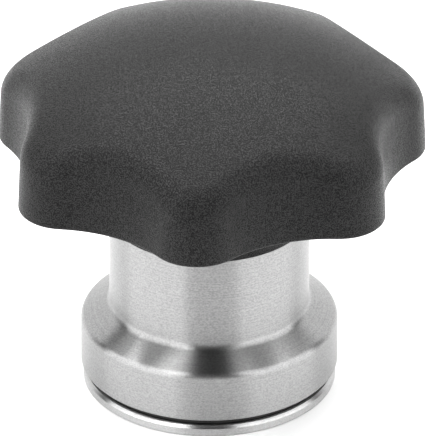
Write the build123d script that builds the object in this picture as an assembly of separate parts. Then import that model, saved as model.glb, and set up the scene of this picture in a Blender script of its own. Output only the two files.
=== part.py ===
from build123d import *
from math import cos, degrees, pi, radians, sin, tan
import os

# A star knob with a clamping-force intensifier. The moulded seven-lobed grip is
# moulded round the spigot of a turned stainless hub. An axial ball bearing inside
# the hub's flange carries a pressure disc that can turn against the hub.
#
# Millimetres. Z is the axis, z = 0 is the lower face of the pressure disc, and one
# lobe points along -Y.

# Grip
lobe_count = 7
grip_diameter = 63.0
lobe_tip_radius = 6.7
valley_depth = 4.75
skirt_height = 19.15
dome_radius = 55.0
draft_angle = 2.55
shoulder_land = 1.7
skirt_edge_radius = 0.5
wall_thickness = 3.2
crown_thickness = 3.6
rib_thickness = 2.6
rib_setback = 1.5
boss_height = 8.8

# Thread for the stud
thread_diameter = 12.0
thread_pitch = 1.75
thread_core_ratio = 1.0825
thread_chamfer = 1.0
tapped_depth = 28.0
drill_point_angle = 118.0

# Hub
neck_diameter = 29.0
hub_height = 23.95
sleeve_wall = 1.5
sleeve_end_clearance = 0.75
flange_wall = 2.08
housing_roof = 1.32
cone_angle = 30.0
flange_round = 1.2
neck_root_radius = 1.25
flange_edge_chamfer = 0.2
spigot_diameter = 22.0
spigot_flat_depth = 1.5
spigot_cover = 6.5
spigot_groove_width = 3.0
spigot_groove_depth = 1.2

# Axial ball bearing
ball_diameter = 4.762
ball_spacing = 0.8
washer_land = 0.869
washer_floor = 2.089
washer_chamfer = 0.4
lower_bore_relief = 0.5
raceway_ratio = 1.08
raceway_depth = 0.75
raceway_clearance = 0.03
bearing_fit_clearance = 0.02
cage_bar = 0.5
cage_thickness = 2.0
cage_chamfer = 0.3
pocket_clearance = 0.07

# Pressure disc
disc_thickness = 1.65
disc_lip = 0.8
disc_top_chamfer = 0.4
disc_bottom_chamfer = 0.2
stud_clearance = 0.5
stud_clearance_chamfer = 0.3
cup_height = 5.5
cup_wall = 1.28
cup_edge_chamfer = 0.2
cup_clearance = 0.3

# Snap ring and seal ring
snap_wire_diameter = 1.0
snap_ring_height = 3.35
snap_ring_opening = 24.0
snap_groove_depth = 0.4
snap_groove_clearance = 0.05
hub_groove_clearance = 0.3
seal_cord_diameter = 1.4
seal_inset = 0.55
seal_groove_depth = 0.4
seal_side_clearance = 0.05
seal_top_clearance = 0.1

# Radii, outwards from the stud
core_radius = (thread_diameter - thread_core_ratio * thread_pitch) / 2
stud_hole_radius = thread_diameter / 2 + stud_clearance
bearing_bore_radius = thread_diameter / 2 + sleeve_wall
ball_radius = ball_diameter / 2
raceway_radius = raceway_ratio * ball_radius
ball_pitch_radius = bearing_bore_radius + washer_land + ball_radius
bearing_outer_radius = ball_pitch_radius + ball_radius + washer_land
ball_count = int(2 * pi * ball_pitch_radius / (ball_diameter + ball_spacing))
cup_inner_radius = bearing_outer_radius + bearing_fit_clearance
cup_outer_radius = cup_inner_radius + cup_wall
counterbore_radius = cup_outer_radius + cup_clearance
hub_groove_radius = counterbore_radius + snap_wire_diameter
flange_radius = hub_groove_radius + flange_wall
seal_ring_radius = counterbore_radius + seal_inset + seal_cord_diameter / 2
seal_groove_half = seal_cord_diameter / 2 + seal_side_clearance
disc_radius = seal_ring_radius + seal_groove_half + disc_lip
snap_wire_radius = snap_wire_diameter / 2
snap_ring_radius = cup_outer_radius - snap_groove_depth + snap_wire_radius
neck_radius = neck_diameter / 2

# Levels, upwards from the lower face of the disc
disc_top = disc_thickness
seal_groove_level = disc_top - seal_groove_depth
flange_bottom = seal_groove_level + seal_cord_diameter + seal_top_clearance
sleeve_bottom = disc_top + sleeve_end_clearance
snap_ring_level = disc_top + snap_ring_height
ball_level = disc_top + washer_floor + raceway_clearance + ball_radius
bearing_seat = ball_level + ball_radius + raceway_clearance + washer_floor
neck_top = flange_bottom + hub_height
skirt_bottom = neck_top + boss_height
crown_level = skirt_bottom + skirt_height
spigot_top = crown_level - spigot_cover

# Tools run this far past what they cut
cutting_margin = 5.0


def ring_profile(points):
    """Half section in the XZ plane through (radius, height) points."""
    outline = Polyline(*[(radius, 0, height) for radius, height in points], close=True)
    return make_face(outline)


def turned(section):
    """Solid of revolution of a half section about the axis."""
    return revolve(section, Axis.Z, 360)


def rounded(section, point, radius):
    """The half section with the corner nearest to (radius, height) rounded."""
    corner = section.vertices().sort_by_distance((point[0], 0, point[1]))[0]
    return fillet(corner, radius)


def star_face(inset, level):
    """The lobed outline, a tip arc and a tangent valley arc for each lobe."""
    half_pitch = pi / lobe_count
    tip_radius = lobe_tip_radius - inset
    tip_reach = grip_diameter / 2 - inset
    valley_reach = grip_diameter / 2 - valley_depth - inset
    tip_centre = tip_reach - tip_radius
    along = 2 * tip_centre * cos(half_pitch)
    valley_radius = (valley_reach**2 - along * valley_reach + tip_centre**2 - tip_radius**2) / (
        2 * tip_radius - 2 * valley_reach + along
    )
    valley_centre = valley_reach + valley_radius
    share = tip_radius / (tip_radius + valley_radius)
    joint_x = tip_centre + (valley_centre * cos(half_pitch) - tip_centre) * share
    joint_y = valley_centre * sin(half_pitch) * share
    tip_arc = ThreePointArc((joint_x, -joint_y), (tip_reach, 0), (joint_x, joint_y))
    valley_point = (valley_reach * cos(half_pitch), valley_reach * sin(half_pitch))
    next_joint = Vector(joint_x, -joint_y).rotate(Axis.Z, degrees(2 * half_pitch))
    valley_arc = ThreePointArc((joint_x, joint_y), valley_point, next_joint)
    arcs = []
    for lobe in range(lobe_count):
        turn = Rot(Z=lobe * 360 / lobe_count - 90)
        arcs += [turn * tip_arc, turn * valley_arc]
    return Pos(Z=level) * make_face(arcs)


def domed_star(inset, level, dome_inset, edge_radius):
    """Drafted star prism under a dome, with its top edge rounded."""
    prism = extrude(star_face(inset, level), crown_level + cutting_margin - level, taper=draft_angle)
    dome = Pos(Z=crown_level - dome_radius) * Sphere(dome_radius - dome_inset)
    body = prism & dome
    crown = body.faces().sort_by(Axis.Z)[-1]
    return fillet(crown.edges(), edge_radius)


def make_spigot():
    """The hub's overmoulded end, with two flats and a groove that lock the grip."""
    radius = spigot_diameter / 2
    groove_radius = radius - spigot_groove_depth
    groove_level = (neck_top + spigot_top) / 2
    length = spigot_top - neck_top
    spigot = Pos(Z=neck_top + length / 2) * Cylinder(radius, length)
    groove = Cylinder(radius, spigot_groove_width) - Cylinder(groove_radius, spigot_groove_width)
    flats = Box(spigot_diameter, spigot_diameter - 2 * spigot_flat_depth, length)
    return (spigot & Pos(Z=neck_top + length / 2) * flats) - Pos(Z=groove_level) * groove


def make_star_grip():
    """Moulded grip: lobed shell, boss over the spigot, and a rib at each valley."""
    shoulder_radius = lobe_tip_radius - shoulder_land
    shell = domed_star(0, skirt_bottom, 0, shoulder_radius)
    rim = shell.faces().sort_by(Axis.Z)[0]
    shell = fillet(rim.edges(), skirt_edge_radius)
    inner_edge_radius = shoulder_radius - wall_thickness
    hollow = domed_star(wall_thickness, skirt_bottom, crown_thickness, inner_edge_radius)
    boss_length = crown_level - skirt_bottom
    hollow -= Pos(Z=skirt_bottom + boss_length / 2) * Cylinder(neck_radius, boss_length)
    rib_length = grip_diameter / 2
    rib_height = boss_length - rib_setback
    rib = Pos(rib_length / 2, 0, skirt_bottom + rib_setback + rib_height / 2) * Box(
        rib_length, rib_thickness, rib_height
    )
    for valley in range(lobe_count):
        hollow -= Rot(Z=(valley + 0.5) * 360 / lobe_count - 90) * rib
    shell -= hollow
    overlap = skirt_height / 2
    boss = Pos(Z=neck_top + (boss_height + overlap) / 2) * Cylinder(neck_radius, boss_height + overlap)
    return shell + boss - make_spigot()


def make_thread_bore():
    """The blind bore of the thread, at its core diameter, with a drill point."""
    bore_end = sleeve_bottom + tapped_depth
    drill_tip = bore_end + core_radius / tan(radians(drill_point_angle / 2))
    return turned(ring_profile([
        (0, sleeve_bottom),
        (core_radius + thread_chamfer, sleeve_bottom),
        (core_radius, sleeve_bottom + thread_chamfer),
        (core_radius, bore_end),
        (0, drill_tip),
    ]))


def make_hub():
    """Turned hub: flange, cone, neck, spigot, thread bore and bearing housing."""
    slope = tan(radians(cone_angle))
    flange_corner = bearing_seat + housing_roof - (flange_radius - counterbore_radius) * slope
    neck_corner = flange_corner + (flange_radius - neck_radius) * slope
    sleeve_radius = bearing_bore_radius - bearing_fit_clearance
    groove_half = snap_wire_radius + hub_groove_clearance
    section = ring_profile([
        (counterbore_radius, flange_bottom),
        (flange_radius - flange_edge_chamfer, flange_bottom),
        (flange_radius, flange_bottom + flange_edge_chamfer),
        (flange_radius, flange_corner),
        (neck_radius, neck_corner),
        (neck_radius, neck_top),
        (0, neck_top),
        (0, sleeve_bottom),
        (sleeve_radius, sleeve_bottom),
        (sleeve_radius, bearing_seat),
        (counterbore_radius, bearing_seat),
        (counterbore_radius, snap_ring_level + groove_half),
        (hub_groove_radius, snap_ring_level + groove_half),
        (hub_groove_radius, snap_ring_level - groove_half),
        (counterbore_radius, snap_ring_level - groove_half),
    ])
    section = rounded(section, (flange_radius, flange_corner), flange_round)
    section = rounded(section, (neck_radius, neck_corner), neck_root_radius)
    return turned(section) + make_spigot() - make_thread_bore()


def make_pressure_disc():
    """Turned disc with a seal groove and the cup that holds the bearing."""
    cup_top = disc_top + cup_height
    groove_radius = cup_outer_radius - snap_groove_depth
    groove_half = snap_wire_radius + snap_groove_clearance
    return turned(ring_profile([
        (stud_hole_radius + stud_clearance_chamfer, 0),
        (disc_radius - disc_bottom_chamfer, 0),
        (disc_radius, disc_bottom_chamfer),
        (disc_radius, disc_top - disc_top_chamfer),
        (disc_radius - disc_top_chamfer, disc_top),
        (seal_ring_radius + seal_groove_half, disc_top),
        (seal_ring_radius + seal_groove_half, seal_groove_level),
        (seal_ring_radius - seal_groove_half, seal_groove_level),
        (seal_ring_radius - seal_groove_half, disc_top),
        (cup_outer_radius, disc_top),
        (cup_outer_radius, snap_ring_level - groove_half),
        (groove_radius, snap_ring_level - groove_half),
        (groove_radius, snap_ring_level + groove_half),
        (cup_outer_radius, snap_ring_level + groove_half),
        (cup_outer_radius, cup_top - cup_edge_chamfer),
        (cup_outer_radius - cup_edge_chamfer, cup_top),
        (cup_inner_radius, cup_top),
        (cup_inner_radius, disc_top),
        (stud_hole_radius, disc_top),
        (stud_hole_radius, stud_clearance_chamfer),
    ]))


def make_washer(inner, face_level, direction):
    """Bearing washer with its raceway; direction is +1 where the balls lie above."""
    outer = bearing_outer_radius
    groove_bottom = ball_level - direction * (ball_radius + raceway_clearance)
    race_level = groove_bottom + direction * raceway_depth
    washer = turned(ring_profile([
        (inner + washer_chamfer, face_level),
        (outer - washer_chamfer, face_level),
        (outer, face_level + direction * washer_chamfer),
        (outer, race_level),
        (inner, race_level),
        (inner, face_level + direction * washer_chamfer),
    ]))
    raceway = Torus(ball_pitch_radius, raceway_radius)
    return washer - Pos(Z=groove_bottom + direction * raceway_radius) * raceway


def ball_places():
    """The places of the balls round the raceway."""
    first = Pos(ball_pitch_radius, 0, ball_level)
    return [Rot(Z=ball * 360 / ball_count) * first for ball in range(ball_count)]


def make_ball_cage():
    """Flat cage ring with a pocket for each ball."""
    half_width = ball_radius + pocket_clearance + cage_bar
    inner = ball_pitch_radius - half_width
    outer = ball_pitch_radius + half_width
    bottom = ball_level - cage_thickness / 2
    top = ball_level + cage_thickness / 2
    cage = turned(ring_profile([
        (inner + cage_chamfer, bottom),
        (outer - cage_chamfer, bottom),
        (outer, bottom + cage_chamfer),
        (outer, top - cage_chamfer),
        (outer - cage_chamfer, top),
        (inner + cage_chamfer, top),
        (inner, top - cage_chamfer),
        (inner, bottom + cage_chamfer),
    ]))
    for place in ball_places():
        cage -= place * Cylinder(ball_radius + pocket_clearance, 2 * cage_thickness)
    return cage


def make_snap_ring():
    """Open round-wire ring that holds the disc in the hub, with its opening at +Y."""
    wire = Plane.XZ * Pos(snap_ring_radius, snap_ring_level) * Circle(snap_wire_radius)
    ring = revolve(wire, Axis.Z, 360 - snap_ring_opening)
    return Rot(Z=90 + snap_ring_opening / 2) * ring


def make_seal_ring():
    """Rubber ring in the disc's groove, just clear of the flange above it."""
    level = seal_groove_level + seal_cord_diameter / 2
    return Pos(Z=level) * Torus(seal_ring_radius, seal_cord_diameter / 2)


pieces = {
    "star_grip": make_star_grip(),
    "hub": make_hub(),
    "pressure_disc": make_pressure_disc(),
    "bearing_lower_washer": make_washer(bearing_bore_radius + lower_bore_relief, disc_top, 1),
    "bearing_upper_washer": make_washer(bearing_bore_radius, bearing_seat, -1),
    "ball_cage": make_ball_cage(),
    "snap_ring": make_snap_ring(),
    "seal_ring": make_seal_ring(),
}
for number, place in enumerate(ball_places(), start=1):
    pieces[f"ball_{number:02d}"] = place * Sphere(ball_radius)

os.makedirs("parts", exist_ok=True)
for name, piece in pieces.items():
    export_step(piece, f"parts/{name}.step")
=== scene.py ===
from math import asin, cos, pi, radians, sin, sqrt, tan

import bpy
from mathutils import Euler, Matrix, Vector


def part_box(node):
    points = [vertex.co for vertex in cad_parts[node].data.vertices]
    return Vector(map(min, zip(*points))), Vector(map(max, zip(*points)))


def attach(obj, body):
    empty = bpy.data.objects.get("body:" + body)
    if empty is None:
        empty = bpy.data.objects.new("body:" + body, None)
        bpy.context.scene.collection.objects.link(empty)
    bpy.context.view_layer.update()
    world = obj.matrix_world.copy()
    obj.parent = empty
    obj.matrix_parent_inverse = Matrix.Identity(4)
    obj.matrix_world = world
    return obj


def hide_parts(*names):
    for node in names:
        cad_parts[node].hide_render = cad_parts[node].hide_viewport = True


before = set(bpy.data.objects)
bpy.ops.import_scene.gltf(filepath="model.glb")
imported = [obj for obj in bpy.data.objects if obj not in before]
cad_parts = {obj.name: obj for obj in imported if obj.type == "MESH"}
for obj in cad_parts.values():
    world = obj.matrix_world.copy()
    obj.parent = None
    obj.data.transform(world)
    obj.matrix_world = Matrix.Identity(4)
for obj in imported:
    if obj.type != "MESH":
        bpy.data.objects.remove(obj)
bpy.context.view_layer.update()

# Pressure disc
# A stainless turning that stands still on the workpiece while the knob is screwed down.
# Its rim and lower face are cut on the lathe, and the cup on its upper side holds the
# bearing. Only the rim shows while the knob stands.
mm = 0.001
merge_distance = 0.001 * mm
round_steps = 240
rounding_steps = 6
crisp_angle = 30.0

disc_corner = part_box("pressure_disc")[1] / mm
disc_radius = disc_corner.x
disc_thickness = 1.65
disc_top_chamfer = 0.4
disc_bottom_chamfer = 0.2
edge_break = 0.06
stud_hole_radius = 6.5
stud_hole_chamfer = 0.3
seal_groove_radius = 16.85
seal_groove_half_width = 0.75
seal_groove_depth = 0.4
cup_top = disc_corner.z
cup_outer_radius = 15.3
cup_inner_radius = 14.02
cup_edge_chamfer = 0.2
snap_ring_level = 5.0
snap_groove_half_width = 0.55
snap_groove_depth = 0.4


def select_nothing():
    bpy.ops.object.select_all(action="DESELECT")


def first_point(name, place):
    """A new piece in edit mode that is a single selected point, the start of a drawn line."""
    select_nothing()
    bpy.ops.mesh.primitive_plane_add(size=mm)
    piece = bpy.context.object
    piece.name = name
    bpy.ops.object.mode_set(mode="EDIT")
    bpy.ops.mesh.select_mode(type="VERT")
    bpy.ops.mesh.merge(type="CENTER")
    bpy.ops.transform.translate(value=place)
    return piece


def draw_line(start, end):
    bpy.ops.mesh.extrude_vertices_move(TRANSFORM_OT_translate={"value": end - start})


def draw_arc(start, end, centre, steps):
    """Carries the selected point from start to end on the shorter arc round the centre."""
    first, last = start - centre, end - centre
    axis = last.cross(first).normalized()
    bpy.ops.mesh.spin(steps=steps, angle=first.angle(last), center=centre, axis=axis)


def merge_doubles():
    """In edit mode, merges points that lie on each other and leaves all selected."""
    bpy.ops.mesh.select_all(action="SELECT")
    bpy.ops.mesh.remove_doubles(threshold=merge_distance)


def face_outwards():
    """Turns every face outwards and leaves edit mode."""
    bpy.ops.mesh.select_all(action="SELECT")
    bpy.ops.mesh.normals_make_consistent(inside=False)
    bpy.ops.object.mode_set(mode="OBJECT")


def modify(piece, kind, **settings):
    """Puts a modifier on the active piece and applies it."""
    bpy.ops.object.modifier_add(type=kind)
    modifier = piece.modifiers[-1]
    for name, value in settings.items():
        setattr(modifier, name, value)
    bpy.ops.object.modifier_apply(modifier=modifier.name)


def finish_shading(piece):
    """Smooth faces with crisp edges; large faces keep their own direction beside roundings."""
    bpy.ops.object.shade_smooth_by_angle(angle=radians(crisp_angle))
    modify(piece, "WEIGHTED_NORMAL", keep_sharp=True)


def turned(name, corners, closed=True):
    """A turned solid. A corner of its half section is (radius, height, rounding) in millimetres."""
    points = [Vector((radius, 0, height)) * mm for radius, height, _ in corners]
    piece = first_point(name, points[0])
    here = points[0]
    for index, corner in enumerate(points[1:], start=1):
        rounding = corners[index][2] * mm
        if rounding:
            back = (here - corner).normalized()
            ahead = (points[(index + 1) % len(points)] - corner).normalized()
            half = back.angle(ahead) / 2
            reach = rounding / tan(half)
            centre = corner + (back + ahead).normalized() * rounding / sin(half)
            draw_line(here, corner + back * reach)
            here = corner + ahead * reach
            draw_arc(corner + back * reach, here, centre, rounding_steps)
        else:
            draw_line(here, corner)
            here = corner
    if closed:
        draw_line(here, points[0])
    merge_doubles()
    bpy.ops.mesh.spin(steps=round_steps, angle=2 * pi, center=(0, 0, 0), axis=(0, 0, 1))
    merge_doubles()
    face_outwards()
    return piece


class Channel:
    """A shader socket to calculate with: each operation adds its node."""

    def __init__(self, finish, socket):
        self.finish = finish
        self.socket = socket

    def math(self, operation, *values):
        inputs = dict(enumerate(values))
        return self.finish.node("ShaderNodeMath", {"operation": operation}, inputs)

    def __add__(self, other):
        return self.math("ADD", self, other)

    __radd__ = __add__

    def __mul__(self, other):
        return self.math("MULTIPLY", self, other)

    __rmul__ = __mul__

    def __pow__(self, other):
        return self.math("POWER", self, other)


class Finish:
    """The finish of a surface: a material that is put together node by node."""

    def __init__(self, name):
        self.material = bpy.data.materials.new(name)
        self.material.use_nodes = True
        self.tree = self.material.node_tree
        self.place = self.node("ShaderNodeTexCoord", output="Object")

    def fill(self, node, inputs):
        for name, value in inputs.items():
            if isinstance(value, Channel):
                self.tree.links.new(value.socket, node.inputs[name])
            else:
                node.inputs[name].default_value = value

    def node(self, kind, settings={}, inputs={}, output=0):
        """Adds a node: its settings first, then the values or links of its sockets."""
        node = self.tree.nodes.new(kind)
        for name, value in settings.items():
            setattr(node, name, value)
        self.fill(node, inputs)
        return Channel(self, node.outputs[output])

    def noise(self, scale, detail, roughness=0.5, place=None):
        """Noise from 0 to 1 whose largest blots are about 1 / scale metres apart."""
        inputs = {
            "Vector": place or self.place,
            "Scale": scale,
            "Detail": detail,
            "Roughness": roughness,
        }
        return self.node("ShaderNodeTexNoise", {"noise_dimensions": "3D"}, inputs)

    def spread(self, value, low=0, high=1, to_low=0, to_high=1):
        """The value's range from low to high, carried over to another range and held there."""
        inputs = {
            "Value": value,
            "From Min": low,
            "From Max": high,
            "To Min": to_low,
            "To Max": to_high,
        }
        return self.node("ShaderNodeMapRange", {}, inputs)

    def tint(self, share, first, second):
        """A colour between two colours, which are the node's sockets 6 and 7."""
        inputs = {"Factor": share, 6: (*first, 1), 7: (*second, 1)}
        return self.node("ShaderNodeMix", {"data_type": "RGBA"}, inputs, output=2)

    def relief(self, height, depth):
        """The surface's direction where height, from 0 to 1, raises it by depth."""
        return self.node("ShaderNodeBump", {}, {"Height": height, "Distance": depth})

    def surface(self, **inputs):
        """Sets the shader's sockets; an underscore stands for a space."""
        shader = self.tree.nodes["Principled BSDF"]
        self.fill(shader, {name.replace("_", " "): value for name, value in inputs.items()})
        return self.material


def turned_steel(name, feed, roughness, dark, light):
    """Steel from the lathe: fine grooves round the axis, a feed apart, and short scratches."""
    facing_stretch = 1.3
    scratches_per_feed = 0.55
    scratch_flattening = (1, 1, 1.6)
    groove_share = 0.35
    swing = 0.03
    finish = Finish(name)
    axes = finish.node("ShaderNodeSeparateXYZ", {}, {"Vector": finish.place}).socket.node.outputs
    across, along, height = (Channel(finish, axis) for axis in axes)
    radius = (across * across + along * along) ** 0.5
    travel = height + radius * facing_stretch
    groove_inputs = {"W": travel, "Scale": 1 / feed, "Detail": 3.0, "Roughness": 0.7}
    grooves = finish.node("ShaderNodeTexNoise", {"noise_dimensions": "1D"}, groove_inputs)
    flat_inputs = {0: finish.place, 1: scratch_flattening}
    flattened = finish.node("ShaderNodeVectorMath", {"operation": "MULTIPLY"}, flat_inputs)
    scratches = finish.noise(scale=scratches_per_feed / feed, detail=2.0, place=flattened)
    marks = grooves * groove_share + scratches * (1 - groove_share)
    wear = finish.spread(marks, low=0.36, high=0.64)
    return finish.surface(
        Base_Color=finish.tint(wear, (dark, dark, dark), (light, light, light)),
        Metallic=1.0,
        Roughness=finish.spread(wear, to_low=roughness + swing, to_high=roughness - swing),
        Anisotropic=0.98,
        Anisotropic_Rotation=0.25,
        Normal=finish.relief(wear, depth=0.004 * mm),
    )


pressure_disc = turned("pressure_disc_turned", [
    (cup_inner_radius, disc_thickness, 0),
    (stud_hole_radius, disc_thickness, edge_break),
    (stud_hole_radius, stud_hole_chamfer, 0),
    (stud_hole_radius + stud_hole_chamfer, 0, edge_break),
    (disc_radius - disc_bottom_chamfer, 0, edge_break),
    (disc_radius, disc_bottom_chamfer, edge_break),
    (disc_radius, disc_thickness - disc_top_chamfer, edge_break),
    (disc_radius - disc_top_chamfer, disc_thickness, edge_break),
    (seal_groove_radius + seal_groove_half_width, disc_thickness, edge_break),
    (seal_groove_radius + seal_groove_half_width, disc_thickness - seal_groove_depth, edge_break),
    (seal_groove_radius - seal_groove_half_width, disc_thickness - seal_groove_depth, edge_break),
    (seal_groove_radius - seal_groove_half_width, disc_thickness, edge_break),
    (cup_outer_radius, disc_thickness, edge_break),
    (cup_outer_radius, snap_ring_level - snap_groove_half_width, 0),
    (cup_outer_radius - snap_groove_depth, snap_ring_level - snap_groove_half_width, edge_break),
    (cup_outer_radius - snap_groove_depth, snap_ring_level + snap_groove_half_width, edge_break),
    (cup_outer_radius, snap_ring_level + snap_groove_half_width, 0),
    (cup_outer_radius, cup_top - cup_edge_chamfer, 0),
    (cup_outer_radius - cup_edge_chamfer, cup_top, 0),
    (cup_inner_radius, cup_top, 0),
])
finish_shading(pressure_disc)
pressure_disc.data.materials.append(
    turned_steel("disc_stainless", feed=0.14 * mm, roughness=0.31, dark=0.43, light=0.57)
)
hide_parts("pressure_disc")
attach(pressure_disc, "pressure_foot")

# Seal ring
# A black rubber cord ring that lies in the disc's groove and keeps dirt out of the bearing.
# It is moulded, so it has fine pores and the bloom of old rubber.
rubber_black = (0.008, 0.008, 0.008)
rubber_bloom = (0.022, 0.022, 0.021)


def give(finish, *names):
    """Gives CAD nodes their finish."""
    for name in names:
        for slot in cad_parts[name].material_slots:
            slot.material = finish


rubber = Finish("seal_rubber")
bloom = rubber.noise(scale=900.0, detail=4.0)
bloom_share = rubber.spread(bloom, low=0.35, high=0.7)
pores = rubber.noise(scale=7000.0, detail=2.0)
give(
    rubber.surface(
        Base_Color=rubber.tint(bloom_share, rubber_black, rubber_bloom),
        Roughness=rubber.spread(bloom, low=0.3, high=0.7, to_low=0.55, to_high=0.72),
        Specular_IOR_Level=0.4,
        Normal=rubber.relief(pores, depth=0.02 * mm),
    ),
    "seal_ring",
)

# Snap ring
# A ring of spring wire that is open at one place, pressed together to pass into the hub's
# groove. The wire is drawn, so it has fine marks and a dark oiled surface.
wire_oiled = (0.20, 0.19, 0.18)
wire_bare = (0.34, 0.33, 0.31)
wire = Finish("snap_ring_wire")
drawing_marks = wire.noise(scale=2500.0, detail=3.0, roughness=0.7)
oil = wire.noise(scale=400.0, detail=2.0)
give(
    wire.surface(
        Base_Color=wire.tint(oil, wire_oiled, wire_bare),
        Metallic=1.0,
        Roughness=wire.spread(drawing_marks, low=0.3, high=0.7, to_low=0.24, to_high=0.38),
        Normal=wire.relief(drawing_marks, depth=0.006 * mm),
    ),
    "snap_ring",
)

# Ball bearing
# Two hardened washers with a ground raceway, twelve polished balls and the cage that spaces
# them, moulded in natural polyamide. The upper washer sits in the hub, the lower in the cup.
ball_count = 12
ball_dull = (0.58, 0.58, 0.59)
ball_bright = (0.66, 0.66, 0.67)
cage_shade = (0.60, 0.55, 0.43)
cage_cream = (0.68, 0.63, 0.51)
washer_steel = turned_steel(
    "washer_ground_steel", feed=0.06 * mm, roughness=0.24, dark=0.50, light=0.60
)
give(washer_steel, "bearing_upper_washer", "bearing_lower_washer")

polished = Finish("ball_polished_steel")
haze = polished.noise(scale=1200.0, detail=3.0)
give(
    polished.surface(
        Base_Color=polished.tint(haze, ball_dull, ball_bright),
        Metallic=1.0,
        Roughness=polished.spread(haze, low=0.3, high=0.7, to_low=0.06, to_high=0.12),
    ),
    *(f"ball_{number:02d}" for number in range(1, ball_count + 1)),
)

polyamide = Finish("cage_polyamide")
flow = polyamide.noise(scale=350.0, detail=3.0)
grain = polyamide.noise(scale=5000.0, detail=2.0)
give(
    polyamide.surface(
        Base_Color=polyamide.tint(flow, cage_shade, cage_cream),
        Roughness=polyamide.spread(grain, low=0.3, high=0.7, to_low=0.38, to_high=0.5),
        Subsurface_Weight=0.15,
        Subsurface_Radius=(0.8 * mm, 0.7 * mm, 0.5 * mm),
        Subsurface_Scale=1.0,
        Normal=polyamide.relief(grain, depth=0.008 * mm),
    ),
    "ball_cage",
)

# Hub
# One stainless turning with a neck, a cone and a flange. Under the flange it is bored for
# the bearing, its middle is tapped for the stud, and the grip is moulded round the spigot
# at its top, which has two flats and a groove to hold the grip.
hub_low, hub_high = (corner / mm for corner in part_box("hub"))
flange_radius = hub_high.x
flange_bottom = 2.75
flange_round = 1.2
flange_edge_chamfer = 0.2
neck_radius = 14.5
neck_top = 26.7
neck_root_radius = 1.25
cone_angle = 30.0
bearing_seat = 10.65
counterbore_radius = 15.6
housing_roof = 1.32
hub_groove_radius = 16.6
hub_groove_half_width = 0.8
sleeve_radius = 7.48
sleeve_bottom = hub_low.z
thread_radius = 6.0
thread_core_radius = 5.053
thread_pitch = 1.75
thread_flank_angle = 30.0
thread_chamfer = 1.0
thread_steps = 48
cutter_run_in = 0.15
tapped_depth = 28.0
drill_point_angle = 118.0
spigot_radius = 11.0
spigot_flat = 9.5
spigot_top = hub_high.z
spigot_groove_radius = 9.8
spigot_groove_half_width = 1.5
overshoot = 1.0

# The cone passes over the corner of the bearing's housing, with a roof of steel between them.
cone_slope = tan(radians(cone_angle))
flange_corner = bearing_seat + housing_roof - (flange_radius - counterbore_radius) * cone_slope
neck_corner = flange_corner + (flange_radius - neck_radius) * cone_slope
bore_end = sleeve_bottom + tapped_depth
spigot_groove_level = (neck_top + spigot_top) / 2
spigot_corners = [
    (spigot_radius, spigot_groove_level - spigot_groove_half_width, 0),
    (spigot_groove_radius, spigot_groove_level - spigot_groove_half_width, 0),
    (spigot_groove_radius, spigot_groove_level + spigot_groove_half_width, 0),
    (spigot_radius, spigot_groove_level + spigot_groove_half_width, 0),
    (spigot_radius, spigot_top, 0),
    (0, spigot_top, 0),
]
hub = turned("hub_turned", [
    (0, bore_end + thread_core_radius / tan(radians(drill_point_angle / 2)), 0),
    (thread_core_radius, bore_end, 0),
    (thread_core_radius, sleeve_bottom + thread_chamfer, 0),
    (thread_core_radius + thread_chamfer, sleeve_bottom, edge_break),
    (sleeve_radius, sleeve_bottom, edge_break),
    (sleeve_radius, bearing_seat, 0),
    (counterbore_radius, bearing_seat, 0),
    (counterbore_radius, snap_ring_level + hub_groove_half_width, edge_break),
    (hub_groove_radius, snap_ring_level + hub_groove_half_width, 0),
    (hub_groove_radius, snap_ring_level - hub_groove_half_width, 0),
    (counterbore_radius, snap_ring_level - hub_groove_half_width, edge_break),
    (counterbore_radius, flange_bottom, edge_break),
    (flange_radius - flange_edge_chamfer, flange_bottom, edge_break),
    (flange_radius, flange_bottom + flange_edge_chamfer, edge_break),
    (flange_radius, flange_corner, flange_round),
    (neck_radius, neck_corner, neck_root_radius),
    (neck_radius, neck_top, edge_break),
    (spigot_radius, neck_top, 0),
    *spigot_corners,
], closed=False)


def cut(piece, tool):
    """Cuts the piece with the tool and clears the tool away."""
    select_nothing()
    bpy.context.view_layer.objects.active = piece
    modify(piece, "BOOLEAN", object=tool, operation="DIFFERENCE", solver="EXACT")
    tool.select_set(True)
    bpy.ops.object.delete()
    piece.select_set(True)


def cut_flats(piece, bottom):
    """Takes the two flats off the spigot, from the given level up."""
    depth = spigot_radius - spigot_flat + overshoot
    height = spigot_top + overshoot - bottom
    for side in (1, -1):
        middle = Vector((0, side * (spigot_flat + depth / 2), bottom + height / 2))
        size = Vector((2 * spigot_radius, depth, height))
        select_nothing()
        bpy.ops.mesh.primitive_cube_add(size=1, location=middle * mm, scale=size * mm)
        bpy.ops.object.transform_apply()
        cut(piece, bpy.context.object)


cut_flats(hub, neck_top)

# The thread is cut by its groove's section, screwed up the bore from a pitch below the sleeve.
root_half_width = thread_pitch / 16
mouth_half_width = 3 * thread_pitch / 8 + cutter_run_in * tan(radians(thread_flank_angle))
cutter_corners = [
    Vector((thread_core_radius - cutter_run_in, 0, -mouth_half_width)) * mm,
    Vector((thread_radius, 0, -root_half_width)) * mm,
    Vector((thread_radius, 0, root_half_width)) * mm,
    Vector((thread_core_radius - cutter_run_in, 0, mouth_half_width)) * mm,
]
cutter_start = Vector((0, 0, sleeve_bottom - thread_pitch)) * mm
thread_cutter = first_point("thread_cutter", cutter_corners[0] + cutter_start)
for start, end in zip(cutter_corners, cutter_corners[1:] + cutter_corners[:1]):
    draw_line(start, end)
merge_doubles()
bpy.ops.object.mode_set(mode="OBJECT")
modify(
    thread_cutter,
    "SCREW",
    screw_offset=thread_pitch * mm,
    iterations=int(tapped_depth / thread_pitch),
    steps=thread_steps,
    render_steps=thread_steps,
    use_merge_vertices=False,
)
bpy.ops.object.mode_set(mode="EDIT")
bpy.ops.mesh.select_all(action="SELECT")
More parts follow.
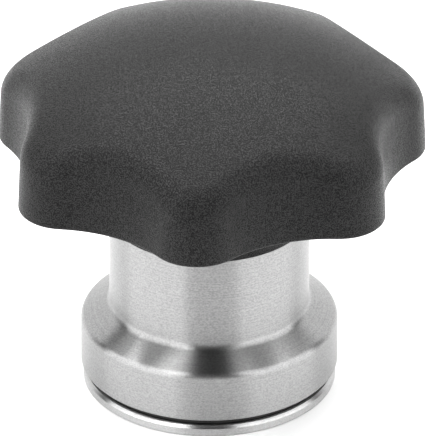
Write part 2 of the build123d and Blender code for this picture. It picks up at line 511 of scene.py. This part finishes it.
bpy.ops.mesh.fill_holes(sides=len(cutter_corners))
face_outwards()
cut(hub, thread_cutter)
finish_shading(hub)
hub.data.materials.append(
    turned_steel("hub_stainless", feed=0.16 * mm, roughness=0.33, dark=0.285, light=0.42)
)
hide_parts("hub")
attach(hub, "knob")

# Star grip
# Seven lobes in black glass-filled polyamide, moulded round the spigot in one shot. The
# tool is spark-eroded, so every outer face has a fine even grain. The underside is hollow,
# with a boss in the middle and a rib from the boss to each valley.
lobe_count = 7
grip_radius = 31.5
lobe_tip_radius = 6.7
valley_depth = 4.75
skirt_bottom = 35.3
skirt_edge_radius = 0.5
skirt_edge_steps = 5
crown_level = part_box("star_grip")[1].z / mm
dome_radius = 55.0
draft_angle = 2.55
shoulder_radius = 5.0
wall_thickness = 3.2
crown_thickness = 3.6
rib_thickness = 2.6
rib_setback = 1.5
tip_steps = 16
valley_steps = 16
shoulder_steps = 10
crown_rings = 16
tolerance = 0.01
grain_black = (0.0, 0.0, 0.0)
grain_grey = (0.023, 0.023, 0.023)


def draw_star(name, inset, level):
    """The lobed outline as one face: a tip arc and a tangent valley arc for each lobe."""
    half_pitch = pi / lobe_count
    tip_radius = lobe_tip_radius - inset
    tip_reach = grip_radius - inset
    valley_reach = grip_radius - valley_depth - inset
    tip_centre = tip_reach - tip_radius
    along = 2 * tip_centre * cos(half_pitch)
    valley_radius = (valley_reach**2 - along * valley_reach + tip_centre**2 - tip_radius**2) / (
        2 * tip_radius - 2 * valley_reach + along
    )
    valley_centre = valley_reach + valley_radius

    def at(radius, angle):
        return Vector((radius * cos(angle), radius * sin(angle), level)) * mm

    share = tip_radius / (tip_radius + valley_radius)
    places = []
    for lobe in range(lobe_count):
        middle = lobe * 2 * half_pitch - pi / 2
        tip = at(tip_centre, middle)
        before = at(valley_centre, middle - half_pitch)
        after = at(valley_centre, middle + half_pitch)
        places.append((tip.lerp(before, share), tip, tip_steps))
        places.append((tip.lerp(after, share), after, valley_steps))
    piece = first_point(name, places[0][0])
    for (start, centre, steps), (end, _, _) in zip(places, places[1:] + places[:1]):
        draw_arc(start, end, centre, steps)
    merge_doubles()
    bpy.ops.mesh.edge_face_add()
    piece.update_from_editmode()
    if piece.data.polygons[0].normal.z < 0:
        bpy.ops.mesh.flip_normals()
    return piece


def select_where(test, kind="FACE"):
    """In edit mode, selects the faces or points whose middle, in millimetres, passes the test."""
    bpy.ops.mesh.select_mode(type=kind)
    bpy.ops.mesh.select_all(action="DESELECT")
    bpy.ops.object.mode_set(mode="OBJECT")
    mesh = bpy.context.object.data
    for part in mesh.polygons if kind == "FACE" else mesh.vertices:
        part.select = test((part.center if kind == "FACE" else part.co) / mm)
    bpy.ops.object.mode_set(mode="EDIT")


def domed_star(name, inset, foot, apex, dome, shoulder):
    """A drafted star with a rounded shoulder under a spherical dome.

    The crown is built flat at the level of the dome's centre. Its middle point is then lifted by
    the dome's radius with a spherical falloff, which carries every other point onto the dome.
    Each ring of the shoulder starts below that level, by the drop that lets the lift end at the
    ring's own height.
    """
    draft = radians(draft_angle)
    centre = apex - dome
    reach = dome - shoulder
    middle_radius = grip_radius - valley_depth / 2 - inset
    wall_top = centre + sqrt(reach**2 - (middle_radius - shoulder) ** 2)
    retreat = (wall_top - foot) * tan(draft)
    across = middle_radius - retreat - shoulder
    last_turn = pi / 2 - asin(across / reach)
    drops = []
    for step in range(shoulder_steps + 1):
        turn = draft + (last_turn - draft) * step / shoulder_steps
        radius = across + shoulder * cos(turn)
        height = sqrt(reach**2 - across**2) + shoulder * sin(turn)
        drops.append((radius, (sqrt(2 * (dome**2 - radius**2) - height**2) - height) / 2))
    piece = draw_star(name, inset, foot)
    bpy.ops.mesh.inset(thickness=retreat * mm, depth=(centre - drops[0][1] - foot) * mm)
    for (radius, drop), (next_radius, next_drop) in zip(drops, drops[1:]):
        thickness = (radius - next_radius) * mm
        bpy.ops.mesh.inset(thickness=thickness, depth=(drop - next_drop) * mm)
    for ring in range(crown_rings, 1, -1):
        bpy.ops.mesh.extrude_region_move()
        share = (ring - 1) / ring
        bpy.ops.transform.resize(value=(share, share, 1), center_override=(0, 0, centre * mm))
    bpy.ops.mesh.poke()
    select_where(lambda point: abs(point.z - foot) < tolerance, kind="VERT")
    bpy.ops.mesh.hide()
    select_where(lambda point: point.xy.length < tolerance, kind="VERT")
    bpy.ops.transform.translate(
        value=(0, 0, dome * mm),
        use_proportional_edit=True,
        proportional_edit_falloff="SPHERE",
        proportional_size=dome * mm,
    )
    bpy.ops.mesh.reveal()
    select_where(lambda point: abs(point.z - foot) < tolerance, kind="VERT")
    bpy.ops.mesh.edge_face_add()
    return piece


star_grip = domed_star(
    "star_grip_moulded", 0, skirt_bottom, crown_level, dome_radius, shoulder_radius
)
bpy.ops.mesh.bevel(offset=skirt_edge_radius * mm, segments=skirt_edge_steps, affect="EDGES")
face_outwards()

# The hollow is a smaller star with the boss and the ribs cut out of it.
hollow = domed_star(
    "grip_hollow",
    wall_thickness,
    skirt_bottom,
    crown_level - crown_thickness,
    dome_radius - crown_thickness,
    shoulder_radius - wall_thickness,
)
bpy.ops.mesh.extrude_region_move(TRANSFORM_OT_translate={"value": (0, 0, -overshoot * mm)})
face_outwards()

select_nothing()
bpy.ops.mesh.primitive_cylinder_add(
    vertices=round_steps,
    radius=neck_radius * mm,
    depth=2 * (crown_level - skirt_bottom) * mm,
    location=(0, 0, skirt_bottom * mm),
)
bpy.ops.object.transform_apply()
cut(hollow, bpy.context.object)

rib_turn = pi / lobe_count - pi / 2
rib_height = crown_level - skirt_bottom - rib_setback
rib_size = Vector((grip_radius - neck_radius + rib_thickness, rib_thickness, rib_height))
rib_middle = Vector(((neck_radius + grip_radius) / 2, 0, crown_level - rib_height / 2))
rib_middle.rotate(Euler((0, 0, rib_turn)))
select_nothing()
bpy.ops.mesh.primitive_cube_add(
    size=1, location=rib_middle * mm, rotation=(0, 0, rib_turn), scale=rib_size * mm
)
bpy.ops.object.transform_apply()
bpy.ops.object.mode_set(mode="EDIT")
copies = lobe_count - 1
copies_turn = 2 * pi * copies / lobe_count
bpy.ops.mesh.spin(
    steps=copies, dupli=True, angle=copies_turn, center=(0, 0, 0), axis=(0, 0, 1)
)
bpy.ops.object.mode_set(mode="OBJECT")
cut(hollow, bpy.context.object)
cut(star_grip, hollow)

# The boss goes down to the hub's neck, and the spigot leaves its recess in it.
bpy.ops.object.mode_set(mode="EDIT")
select_where(lambda middle: middle.xy.length < 1 and abs(middle.z - skirt_bottom) < tolerance)
boss_descent = (0, 0, (neck_top - skirt_bottom) * mm)
bpy.ops.mesh.extrude_region_move(TRANSFORM_OT_translate={"value": boss_descent})
bpy.ops.object.mode_set(mode="OBJECT")
recess_foot = neck_top - overshoot
recess = turned("spigot_recess", [
    (0, recess_foot, 0),
    (spigot_radius, recess_foot, 0),
    *spigot_corners,
], closed=False)
cut_flats(recess, recess_foot - overshoot)
cut(star_grip, recess)
finish_shading(star_grip)

grip_plastic = Finish("grip_black_plastic")
craters = grip_plastic.noise(scale=6300.0, detail=1.0)
eroded_grain = grip_plastic.spread(craters, low=0.43, high=0.57)
star_grip.data.materials.append(
    grip_plastic.surface(
        Base_Color=grip_plastic.tint(eroded_grain**3, grain_black, grain_grey),
        Roughness=grip_plastic.spread(eroded_grain, to_low=0.5, to_high=0.32),
        Specular_IOR_Level=0.17,
        Normal=grip_plastic.relief(eroded_grain, depth=0.04 * mm),
    )
)
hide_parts("star_grip")
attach(star_grip, "knob")

# Studio
# A pale floor, a broad softbox on each side of the camera, a low sheet of light behind the
# knob and a softbox over its back. A high strip on each side draws the bands on the hub's
# cone, and black velvet on the floor in front keeps the grip's near walls dark.
camera_azimuth = 4.05
camera_elevation = 29.35
camera_distance = 0.95
camera_lens = 543.4
photo_long_side = 436
aim_shift = (3.2, 5.33)
aim_height = 24.87 * mm
floor_size = 6.0
floor_white = (0.88, 0.88, 0.88, 1)
velvet_near_edge = 0.15
velvet_far_edge = 0.65
velvet_near_width = 0.16
velvet_far_width = 0.56
velvet_shift = 0.005
velvet_lift = 0.5 * mm
velvet_black = (0.01, 0.01, 0.01, 1)
fill_white = (1, 1, 1, 1)
fill_brightness = 0.08


def direction(azimuth, elevation):
    """The direction from the object towards a studio place; azimuth 0 is -Y, 90 is +X."""
    turn, rise = radians(azimuth), radians(elevation)
    return Vector((sin(turn) * cos(rise), -cos(turn) * cos(rise), sin(rise)))


aim = Vector((0, 0, aim_height))
camera_side = direction(camera_azimuth, camera_elevation)
camera_data = bpy.data.cameras.new("photo_camera")
camera_data.lens = camera_lens
camera_data.sensor_width = 36.0
camera_data.shift_x = aim_shift[0] / photo_long_side
camera_data.shift_y = aim_shift[1] / photo_long_side
camera_data.clip_start = 0.01
camera = bpy.data.objects.new("photo_camera", camera_data)
bpy.context.collection.objects.link(camera)
camera.location = aim + camera_side * camera_distance
camera.rotation_euler = (-camera_side).to_track_quat("-Z", "Y").to_euler()
bpy.context.scene.camera = camera

for name, azimuth, elevation, distance, width, height, brightness in (
    ("left_softbox", -58, 22, 1.0, 1.45, 1.1, 2.55),
    ("right_softbox", 72, 22, 1.0, 1.3, 1.1, 2.3),
    ("back_sheet", 184, 12, 0.8, 2.6, 1.2, 1.2),
    ("top_softbox", 184, 70, 1.1, 1.1, 1.1, 5.2),
    ("left_strip", -62, 60, 1.0, 0.9, 0.16, 11.0),
    ("right_strip", 76, 61, 1.0, 0.9, 0.22, 4.0),
):
    light = bpy.data.lights.new(name, "AREA")
    light.shape = "RECTANGLE"
    light.size = width
    light.size_y = height
    light.energy = brightness * pi * width * height
    softbox = bpy.data.objects.new(name, light)
    bpy.context.collection.objects.link(softbox)
    side = direction(azimuth, elevation)
    softbox.location = aim + side * distance
    softbox.rotation_euler = side.to_track_quat("Z", "Y").to_euler()
    softbox.visible_camera = False

select_nothing()
bpy.ops.mesh.primitive_plane_add(size=floor_size)
floor = bpy.context.object
floor.name = "studio_floor"
floor.data.materials.append(Finish("pale_floor").surface(Base_Color=floor_white, Roughness=0.9))

velvet_depth = velvet_far_edge - velvet_near_edge
velvet_middle = -(velvet_near_edge + velvet_far_edge) / 2
select_nothing()
bpy.ops.mesh.primitive_plane_add(size=1)
flag = bpy.context.object
flag.name = "black_flag"
bpy.ops.object.mode_set(mode="EDIT")
bpy.ops.transform.resize(value=(velvet_near_width, velvet_depth, 1))
bpy.ops.transform.translate(value=(velvet_shift, velvet_middle, velvet_lift))
select_where(lambda point: point.y * mm < velvet_middle, kind="VERT")
bpy.ops.transform.resize(
    value=(velvet_far_width / velvet_near_width, 1, 1), center_override=(velvet_shift, 0, 0)
)
bpy.ops.mesh.select_all(action="SELECT")
bpy.ops.transform.rotate(
    value=-radians(camera_azimuth), orient_axis="Z", center_override=(0, 0, 0)
)
bpy.ops.object.mode_set(mode="OBJECT")
flag.visible_camera = flag.visible_diffuse = flag.visible_shadow = False
flag.data.materials.append(Finish("flag_velvet").surface(Base_Color=velvet_black, Roughness=1.0))

world = bpy.data.worlds.new("studio_fill")
world.use_nodes = True
bpy.context.scene.world = world
background = world.node_tree.nodes["Background"]
background.inputs["Color"].default_value = fill_white
background.inputs["Strength"].default_value = fill_brightness
bpy.context.scene.view_settings.view_transform = "Standard"
